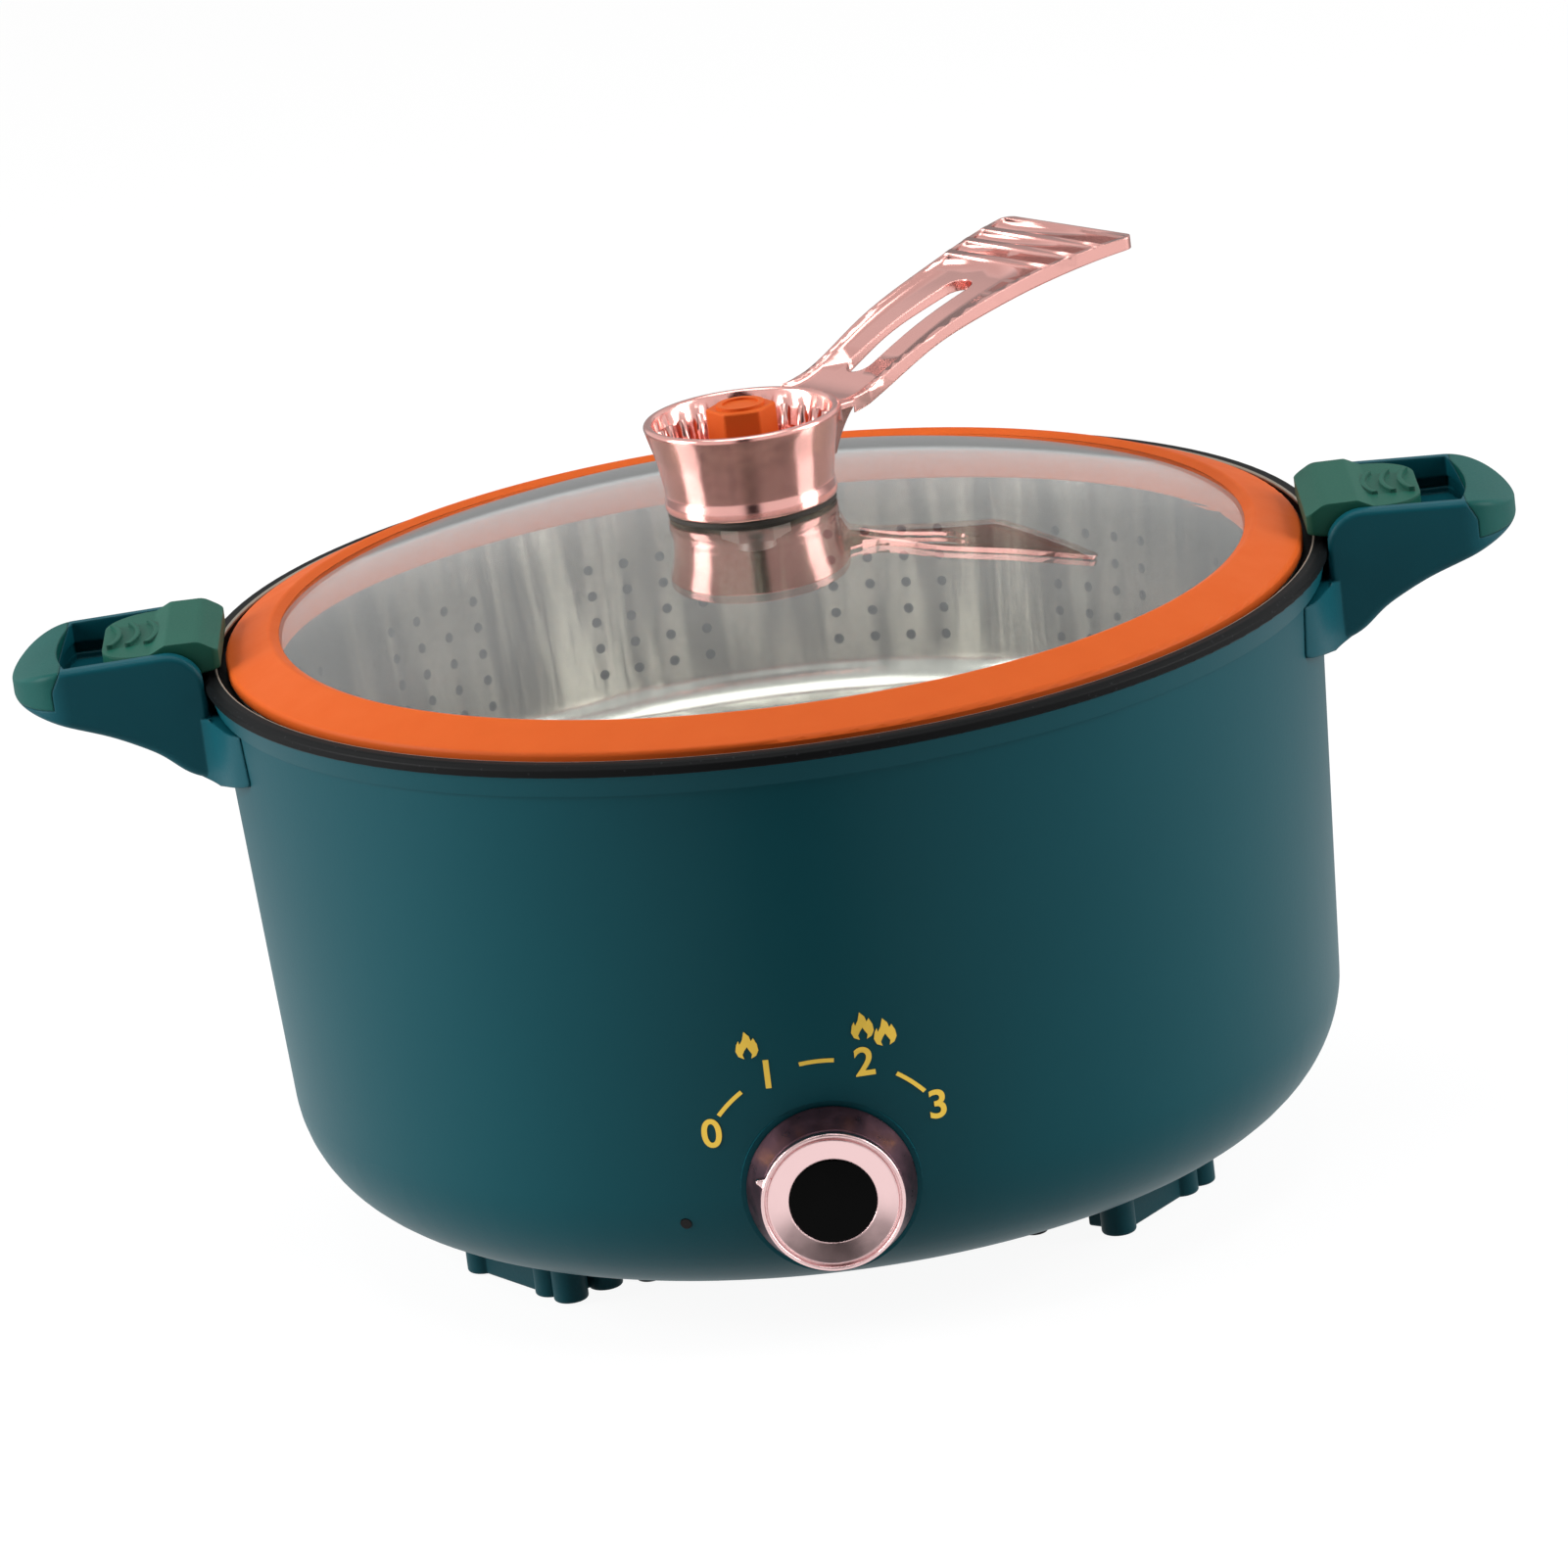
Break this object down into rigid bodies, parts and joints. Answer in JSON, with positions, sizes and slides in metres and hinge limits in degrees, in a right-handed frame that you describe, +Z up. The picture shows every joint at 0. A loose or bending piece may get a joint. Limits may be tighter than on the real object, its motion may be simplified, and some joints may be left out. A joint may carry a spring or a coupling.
{
  "type": "electric cooking pot",
  "caption": "Round electric cooking pot with a hanging steamer basket, a lift-off glass lid with a cup, steam valve and grip arm, latching side handles and a front heat knob.",
  "frame": {"origin": "on the pot's vertical axis, at the surface that the foot pads stand on", "axes": "+X along the two side handles, +Y towards the back where the power inlet is, +Z up"},
  "size_m": [0.4, 0.3043, 0.2328],
  "materials": {
    "body_paint": "satin enamel, dark teal",
    "pot_coating": "dark non-stick coating",
    "sheet_steel": "brushed",
    "lid_glass": "clear",
    "orange_silicone": "soft satin",
    "rose_plating": "mirror polished rose gold",
    "dark_plating": "polished, smoky",
    "black_gloss": "glossy black",
    "handle_plastic": "satin, dark teal",
    "latch_plastic": "satin, grey green",
    "base_plastic": "satin, dark teal",
    "pad_rubber": "matte",
    "washer_rubber": "matte, milky",
    "screw_steel": "zinc plated",
    "black_plastic": "matte black",
    "contact_brass": "bright",
    "lens_amber": "clear amber",
    "lamp_body": "milky",
    "plate_aluminium": "cast, machined face",
    "heater_steel": "annealed",
    "fuse_body": "ceramic",
    "brown_wire": "silicone insulation",
    "white_wire": "silicone insulation",
    "blue_wire": "silicone insulation",
    "green_wire": "silicone insulation"
  },
  "bodies": {
    "pot": {"base_cover": "base_plastic", "base_screws": "screw_steel", "bush_nut": "screw_steel", "cutout_tabs": "contact_brass", "earth_stud": "screw_steel", "foot_pads": "pad_rubber", "fuse_clip": "screw_steel", "handle_base_left": "handle_plastic", "handle_base_right": "handle_plastic", "handle_cap_left": "latch_plastic", "handle_cap_right": "latch_plastic", "handle_screws_left": "screw_steel", "handle_screws_right": "screw_steel", "heat_plate": "plate_aluminium", "heater_pins": "contact_brass", "heater_tube": "heater_steel", "indicator_lamp": "lamp_body", "indicator_lens": "lens_amber", "inlet_pins": "contact_brass", "inlet_screws": "screw_steel", "inner_pot": "pot_coating", "lead_control": "brown_wire", "lead_earth": "green_wire", "lead_heater": "white_wire", "lead_link": "white_wire", "lead_live": "brown_wire", "lead_neutral": "blue_wire", "outer_shell": "body_paint", "power_inlet": "black_plastic", "thermal_cutout": "black_plastic", "thermal_fuse": "fuse_body", "thermostat": "black_plastic", "thermostat_bracket": "screw_steel", "thermostat_tabs": "contact_brass"},
    "knob": {"knob_skirt": "dark_plating", "knob_ring": "rose_plating", "knob_disc": "black_gloss", "control_shaft": "screw_steel"},
    "lid": {"lid_glass": "lid_glass", "lid_gasket": "orange_silicone", "lid_handle": "rose_plating", "cup_washer": "washer_rubber", "glass_washer": "washer_rubber", "lid_nut": "screw_steel", "vent_tube": "screw_steel", "valve_seat": "orange_silicone"},
    "valve": {"valve_cap": "orange_silicone"},
    "basket": {"steamer_basket": "sheet_steel"},
    "right_latch": {"latch_right": "latch_plastic"},
    "left_latch": {"latch_left": "latch_plastic"}
  },
  "joints": [
    {"name": "knob_turn", "type": "hinge", "parent": "pot", "child": "knob", "pos_m": [0, -0.14165, 0.0453], "axis": [0, 1, 0], "range_deg": [0, 126]},
    {"name": "lid_lift", "type": "slide", "parent": "pot", "child": "lid", "axis": [0, 0, 1], "range_m": [0, 0.18]},
    {"name": "basket_lift", "type": "slide", "parent": "pot", "child": "basket", "axis": [0, 0, 1], "range_m": [0, 0.09]},
    {"name": "right_latch_slide", "type": "slide", "parent": "pot", "child": "right_latch", "axis": [1, 0, 0], "range_m": [-0.003, 0.009]},
    {"name": "left_latch_slide", "type": "slide", "parent": "pot", "child": "left_latch", "axis": [-1, 0, 0], "range_m": [-0.003, 0.009]},
    {"name": "valve_lift", "type": "slide", "parent": "lid", "child": "valve", "axis": [0, 0, 1], "range_m": [0, 0.004]}
  ],
  "couplings": [
    {"joint": "basket_lift", "follows": "lid_lift", "ratio": 0.5}
  ]
}
